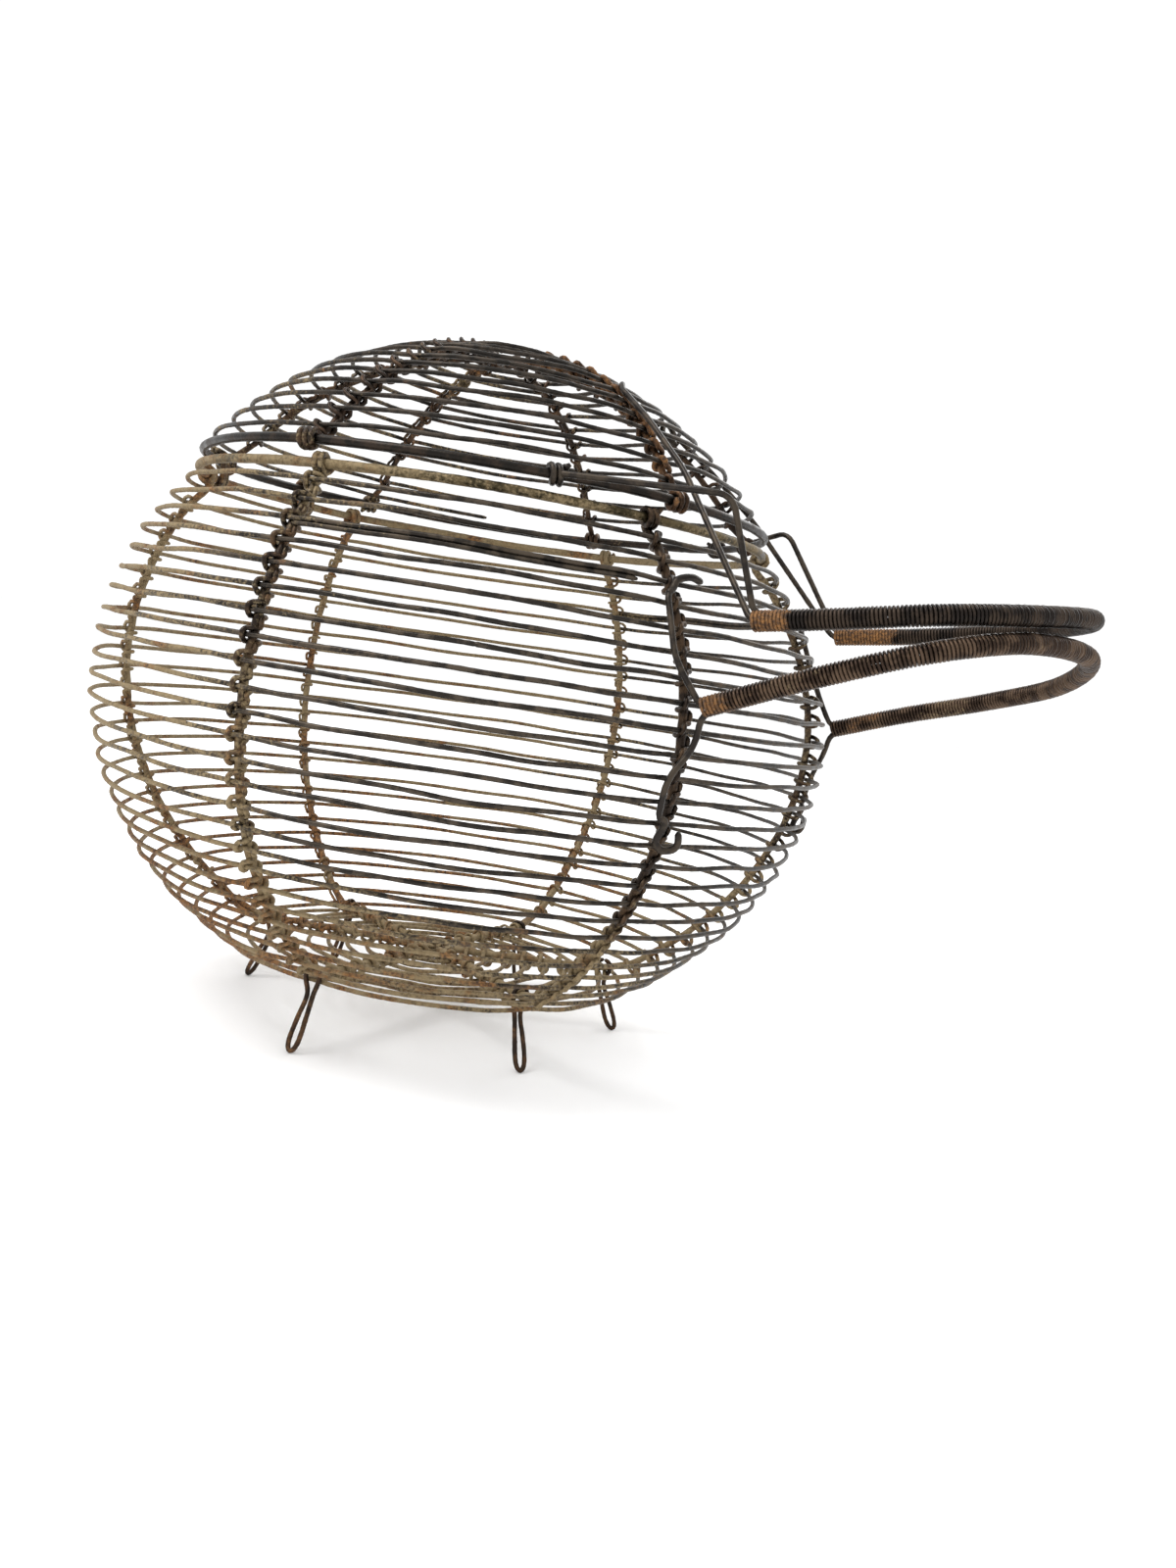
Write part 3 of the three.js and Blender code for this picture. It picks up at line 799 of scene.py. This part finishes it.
def hairpin(index):
    angle = BOWL_ROD_ANGLES[index]
    out = around(angle, 1, 0) - around(angle, 0, 0)
    twist = radians(FOOT_TWISTS[index])
    side = UP.cross(out) * cos(twist) - out * sin(twist)
    other_leg = [(-sideways, up) for sideways, up in reversed(FOOT_LEG)]
    outline = [*FOOT_LEG, (0.0, FOOT_THICK / 2 / MM), *other_leg]
    points = []
    for sideways, up in outline:
        share = max(0.0, 1 - up / FOOT_SPREAD_BELOW)
        radius = FOOT_TOP_RADIUS + (FOOT_RADIUS - FOOT_TOP_RADIUS) * share + FOOT_SHIFTS[index] * MM
        points.append(around(angle, radius, up * MM) + side * sideways * MM)
    piece = wire_piece(f"hairpin_foot_{index + 1}", [(smooth_path(points, 0.8 * MM), FOOT_THICK)], 10, 0.08,
                       0.06 * MM)
    return place_piece(piece, FOOT_STEEL, "bowl", "foot_wire", f"foot_{index + 1}")


for index in range(len(BOWL_ROD_ANGLES)):
    hairpin(index)

# %% [markdown]
# ## The hinge
# There is no pin. Two lashings of wire at the back go round both rims, loose enough for the lid's rim to
# turn in them.

# %% Two hinge lashings
HINGE_ANGLES = [168.0, 203.0]
LASH_GAP = 0.75 * MM
LASH_TURNS = 2.45


def hinge_lashing(name, angle, side, node):
    low = rim_point(angle, rim_radius, rim_height)
    high = rim_point(angle, rim_radius, lid_rim_height)
    axis = rim_point(angle + 1, rim_radius, rim_height) - low
    line = coil((low + high) / 2, axis, RIM_THICK / 2 + LASH_GAP, WRAP_THICK, LASH_TURNS, WRAP_THICK * 1.05,
                side * 1.3, high - low)
    tail = [line[-1], line[-1] + Vector((-3, side * 2, 2)) * MM, line[-1] + Vector((-2, side * 5, 4)) * MM]
    strands = [(smooth_path(line, 0.9 * MM), WRAP_THICK), (smooth_path(tail, 0.8 * MM), WRAP_THICK)]
    piece = wire_piece(name, strands, 8, 0.12, 0.12 * MM)
    return place_piece(piece, LID_ROD_STEEL, "bowl", "rim_wire", node)


hinge_lashing("hinge_lashing_left", HINGE_ANGLES[0], -1, "hinge_eye_left")
hinge_lashing("hinge_lashing_right", HINGE_ANGLES[1], 1, "hinge_eye_right")

# %% [markdown]
# ## Handles
# A handle is two stiff wires laid one above the other and wound with thinner wire all the way round the
# loop. Where the winding stops, the two wires part: on the bowl one goes up and one goes down beside a
# rod, and on the lid one reaches level for the rim and the other climbs the dome.

# %% The lines of the two grips
# Places by the handles, from the front of the widest turn: outwards, across and up, in millimetres.
def grip_point(outward, across, up):
    return Vector((axis_x + equator_radius, axis_y, equator_height)) + Vector((outward, across, up)) * MM


BOWL_GRIP = [
    (-13.4, -66.3, 15.2), (18.8, -64.4, 28.8), (47.0, -59.4, 39.5), (66.2, -40.0, 45.4),
    (77.5, 0.0, 45.4), (66.2, 40.0, 38.1), (41.2, 60.0, 30.0), (15.0, 64.4, 21.9), (-10.8, 64.0, 12.5),
]
LID_GRIP = [
    (-3.8, -63.8, 40.5), (18.8, -64.4, 43.8), (43.8, -60.6, 48.2), (65.0, -41.2, 52.5),
    (76.5, 0.0, 56.9), (65.0, 41.2, 57.0), (41.2, 60.6, 54.0), (12.5, 64.4, 49.4), (-15.0, 63.8, 45.6),
]
CORE_THICK = 1.9 * MM
WIND_THICK = 1.05 * MM
WIND_RADIUS = 2.55 * MM
bowl_grip = smooth_path([grip_point(*corner) for corner in BOWL_GRIP], 1.0 * MM)
lid_grip = smooth_path([grip_point(*corner) for corner in LID_GRIP], 1.0 * MM)

# %% Wind a wire round a grip
def wind_round(line, radius, pitch, seed):
    """A close winding: the wire goes round the line once every pitch."""
    points = []
    travelled = 0.0
    angle = 0.0
    side = (line[1] - line[0]).orthogonal().normalized()
    for here, there in zip(line, line[1:]):
        along = there - here
        side = (side - along.normalized() * side.dot(along.normalized())).normalized()
        other = along.normalized().cross(side)
        pieces = ceil(STEPS_PER_TURN * along.length / pitch)
        for i in range(pieces):
            spot = here + along * (i / pieces)
            grown = radius * (1 + 0.02 * noise.noise(Vector((travelled / (2.2 * pitch), seed, 0))))
            points.append(spot + (side * cos(angle) + other * sin(angle)) * grown)
            angle += 2 * pi * along.length / pitch / pieces
            travelled += along.length / pieces
    return points


def make_winding(name, line, body, material, node, seed):
    points = wind_round(line, WIND_RADIUS, WIND_THICK * 1.03, seed)
    piece = wire_piece(name, [(points, WIND_THICK)], 6, 0.06, 0.03 * MM)
    return place_piece(piece, material, body, "grip_winding", node)


make_winding("bowl_grip_winding", bowl_grip, "bowl", BOWL_GRIP_STEEL, "bowl_handle_winding", 11)
make_winding("lid_grip_winding", lid_grip, "lid", LID_GRIP_STEEL, "lid_handle_winding", 12)

# %% [markdown]
# A strut runs straight and is bent sharply with pliers. On the bowl its tail is turned over the rod or
# curled back under it, and on the lid it is wound round the rim or hooked over a turn of the dome.

# %% Struts of the bowl's handle
CORE_LIFT = 1.15 * MM
# The rod beside each end of a grip, and the side of it that the strut is on.
GRIP_RODS = [(1, -1), (2, 1)]


def grip_core(line, lift, near, far):
    """A core wire through a winding, with a strut at each end. It takes every sixth point of the grip."""
    run = [place + UP * lift for place in (line[0], *line[8:-8:6], line[-1])]
    return bent_path([*near, *run, *reversed(far)], 4 * MM)


# A strut's four corners from its end to the grip: millimetres out of the wall, degrees to the side of the
# rod, and the latitudes on the strut that goes up and on the one that goes down.
STRUT_OUTS = [2.65, 2.65, 3.05, 4.6]
STRUT_ASIDE = [1.7, 3.0, 3.2, 0.2]
UP_LATITUDES = [23.9, 22.7, 13.5, 8.0]
DOWN_LATITUDES = [-9.4, -8.6, -3.0, 2.2]


def wall_strut(rod, side, latitudes):
    return [
        bowl_point(bowl_rod_angle(rod, latitude) + side * aside, latitude, out * MM)
        for latitude, out, aside in zip(latitudes, STRUT_OUTS, STRUT_ASIDE)
    ]


# Past a strut's end: degrees to the side of the rod, degrees of latitude past the end, and
# millimetres out. The upper tail bends over the rod, and the lower one curls back under it.
UPPER_TAIL = [(-3.4, 1.3, 3.8), (-1.2, 1.5, 4.6), (1.2, 0.9, 3.6)]
LOWER_TAIL = [(-0.6, -1.2, 3.4), (-0.9, -3.4, 3.6), (0.6, -4.3, 3.0), (1.6, -3.9, 2.4), (2.0, -3.1, 1.8)]


def strut_tail(rod, side, latitude, tail):
    angle = bowl_rod_angle(rod, latitude)
    return [bowl_point(angle + side * aside, latitude + past, out * MM) for aside, past, out in tail]


for name, lift, latitudes, tail in (
    ("upper", CORE_LIFT, UP_LATITUDES, UPPER_TAIL),
    ("lower", -CORE_LIFT, DOWN_LATITUDES, LOWER_TAIL),
):
    struts = []
    strands = []
    for rod, side in GRIP_RODS:
        strut = wall_strut(rod, side, latitudes)
        end = strut_tail(rod, side, latitudes[0], tail)
        struts.append(strut)
        strands.append((smooth_path([*end, strut[0], strut[1]], 0.9 * MM), CORE_THICK * 1.15))
    strands.append((grip_core(bowl_grip, lift, *struts), CORE_THICK))
    piece = wire_piece(f"bowl_grip_core_{name}", strands, 10, 0.06, 0.05 * MM)
    place_piece(piece, STRUT_STEEL, "bowl", "handle_wire", f"bowl_handle_wire_{name}")

# %% Struts of the lid's handle
# The angle at which a level strut meets the rim, its side, and its bend as a place by the handles.
RIM_STRUT_ENDS = [(-49.0, -1, (-15.4, 63.8, 73.8)), (53.0, 1, (-38.8, 63.8, 81.2))]
# A climbing strut's corners: latitude, millimetres out of the dome, and degrees to the side of the rod.
DOME_STRUT = [(59.0, 2.65, -3.4), (50.0, 4.05, -3.2), (39.0, 7.5, -1.5)]
# The hook over a turn of the dome: degrees back along the turn, degrees of latitude past the strut's
# end, and millimetres out.
DOME_HOOK = [(7.0, -1.0, -1.5), (6.5, 1.5, -1.9), (4.8, 2.6, 0.6), (2.2, 2.0, 3.0)]


def level_strut(angle, side, bend):
    end = rim_point(angle, rim_radius + (RIM_THICK + CORE_THICK) / 2, lid_rim_height)
    return [end, grip_point(bend[0], side * bend[1], bend[2])]


def dome_strut(rod, side):
    return [
        lid_point(lid_rod_angle(rod, latitude) - side * aside, latitude, out * MM)
        for latitude, out, aside in DOME_STRUT
    ]


near, far = [level_strut(*end) for end in RIM_STRUT_ENDS]
strands = [(grip_core(lid_grip, CORE_LIFT, near, far), CORE_THICK)]
for angle, _, _ in RIM_STRUT_ENDS:
    strands += rim_wrap(angle, lid_rim_height, Random(31), 2.2)
piece = wire_piece("lid_grip_core_level", strands, 10, 0.06, 0.05 * MM)
place_piece(piece, STRUT_STEEL, "lid", "handle_wire", "lid_handle_wire_rim")

dome_struts = [dome_strut(rod, side) for rod, side in GRIP_RODS]
strands = [(grip_core(lid_grip, -CORE_LIFT, *dome_struts), CORE_THICK)]
latitude, _, end_aside = DOME_STRUT[0]
for (rod, side), strut in zip(GRIP_RODS, dome_struts):
    angle = lid_rod_angle(rod, latitude) - side * end_aside
    hook = [lid_point(angle - side * aside, latitude + past, out * MM) for aside, past, out in DOME_HOOK]
    strands.append((smooth_path([*hook, strut[0], strut[0].lerp(strut[1], 0.2)], 0.9 * MM), CORE_THICK))
piece = wire_piece("lid_grip_core_dome", strands, 10, 0.06, 0.05 * MM)
place_piece(piece, STRUT_STEEL, "lid", "handle_wire", "lid_handle_wire_dome")

# %% [markdown]
# The tail of each bowl handle wire isn't cut off: it runs back along the third turn and stiffens it.

# %% Two braces
BRACE_TURN = 3
BRACE_SPAN = 52.0
BRACE_STEPS = 40


def brace(name, from_angle, direction, node):
    points = []
    for i in range(BRACE_STEPS + 1):
        angle = from_angle + direction * BRACE_SPAN * i / BRACE_STEPS
        turn = BRACE_TURN + (angle - START_ANGLE) / 360
        points.append(wall_turn(turn) - UP * WIRE_THICK * 0.95)
    piece = wire_piece(name, [(smooth_path(points, 1.3 * MM), WIRE_THICK)], 8, 0.1, 0.06 * MM)
    return place_piece(piece, WALL_STEEL, "bowl", "wall_wire", node)


brace("brace_tail_near", -37.0, -1, "bowl_brace_near")
brace("brace_tail_far", 38.0, 1, "bowl_brace_far")

# %% [markdown]
# ## Studio
# The basket stands on a wide sheet of pale paper under a white sky, as in a light tent. A wide soft light
# over the left shoulder and one behind draw the bright lines along the tops of the wires.

# %% Floor, lights and world
def studio_floor():
    grid = bmesh.new()
    bmesh.ops.create_grid(grid, x_segments=2, y_segments=2, size=8)
    mesh = bpy.data.meshes.new("studio_floor")
    grid.to_mesh(mesh)
    grid.free()
    floor = bpy.data.objects.new("studio_floor", mesh)
    bpy.context.scene.collection.objects.link(floor)
    paper = bpy.data.materials.new("pale_paper")
    paper.use_nodes = True
    paper.node_tree.nodes["Principled BSDF"].inputs["Base Color"].default_value = (0.93, 0.93, 0.93, 1)
    paper.node_tree.nodes["Principled BSDF"].inputs["Roughness"].default_value = 0.9
    mesh.materials.append(paper)


def area_light(name, place, target, size, power):
    lamp = bpy.data.lights.new(name, "AREA")
    lamp.size = size
    lamp.energy = power
    light = bpy.data.objects.new(name, lamp)
    light.location = place
    light.rotation_euler = (Vector(target) - Vector(place)).to_track_quat("-Z", "Y").to_euler()
    bpy.context.scene.collection.objects.link(light)


studio_floor()
AIM = (0.0, 0.0, 0.1)
area_light("key_light", (-0.7, -1.0, 1.9), AIM, 0.9, 26)
area_light("back_light", (0.3, 1.6, 1.5), AIM, 1.4, 16)
world = bpy.data.worlds.new("studio_world")
world.use_nodes = True
world.node_tree.nodes["Background"].inputs["Color"].default_value = (1.0, 1.0, 1.0, 1)
world.node_tree.nodes["Background"].inputs["Strength"].default_value = 1.08
bpy.context.scene.world = world
bpy.context.scene.view_settings.view_transform = "Standard"
print("studio ready")

# %% [markdown]
# ## Camera
# The camera looks at the basket from the handles' near side, a little above the rims and tilted.
# Its place is given in equator radii from the middle of the basket on the floor, and its turn by two
# directions: the one that it faces, and the one that points across its view to the right.

# %% Camera
LENS = 30.58
CAMERA_PLACE = Vector((1.899, -3.289, 1.046))
FACING = Vector((-0.4114, 0.9074, -0.0858))
ACROSS = Vector((0.8948, 0.4200, 0.1514))
camera_data = bpy.data.cameras.new("camera")
camera_data.lens = LENS
camera_data.sensor_width = 36.0
camera_data.clip_start = 0.01
camera = bpy.data.objects.new("camera", camera_data)
bpy.context.scene.collection.objects.link(camera)
camera.location = around(0, 0, 0) + CAMERA_PLACE * equator_radius
facing = FACING.normalized()
up = ACROSS.cross(facing).normalized()
right = facing.cross(up).normalized()
turned = Matrix((right, up, -facing)).transposed().to_4x4()
camera.matrix_world = Matrix.Translation(camera.location) @ turned
bpy.context.scene.camera = camera
